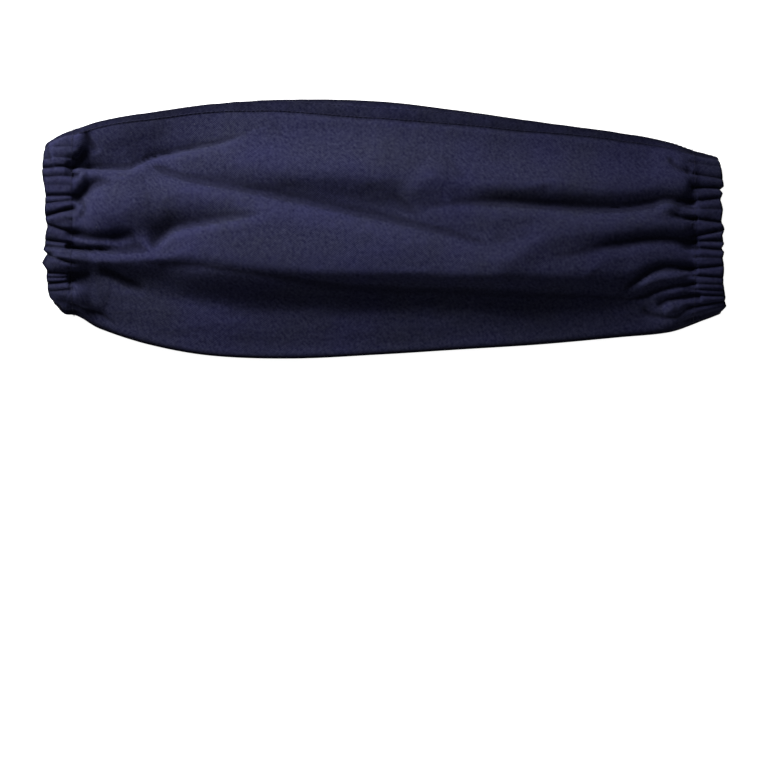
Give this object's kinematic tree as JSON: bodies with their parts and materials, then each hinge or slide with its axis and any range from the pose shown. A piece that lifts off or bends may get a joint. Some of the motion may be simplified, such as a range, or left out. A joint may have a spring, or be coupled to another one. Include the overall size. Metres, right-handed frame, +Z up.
{
  "type": "welding sleeve",
  "caption": "Protective forearm sleeve of navy cotton twill: a tapered cloth tube lying flattened, open through, with elastic gathered hems at both ends.",
  "frame": {"origin": "middle of the sleeve's outline, on the surface that it lies on", "axes": "+X along the sleeve from the upper-arm end to the wrist end, +Y across it towards the long seam, +Z up from the surface"},
  "size_m": [0.457, 0.1731, 0.0363],
  "materials": {
    "twill": "navy cotton twill, matt, fine diagonal weave",
    "twill_seam": "the same twill, turned and sewn flat",
    "twill_hem": "the same twill, folded and gathered",
    "elastic": "plain woven elastic, hidden in the hems"
  },
  "bodies": {
    "root": {"sleeve_body": "twill", "felled_seam": "twill_seam", "upper_arm_casing": "twill_hem", "wrist_casing": "twill_hem", "upper_arm_elastic": "elastic", "wrist_elastic": "elastic"}
  },
  "joints": []
}
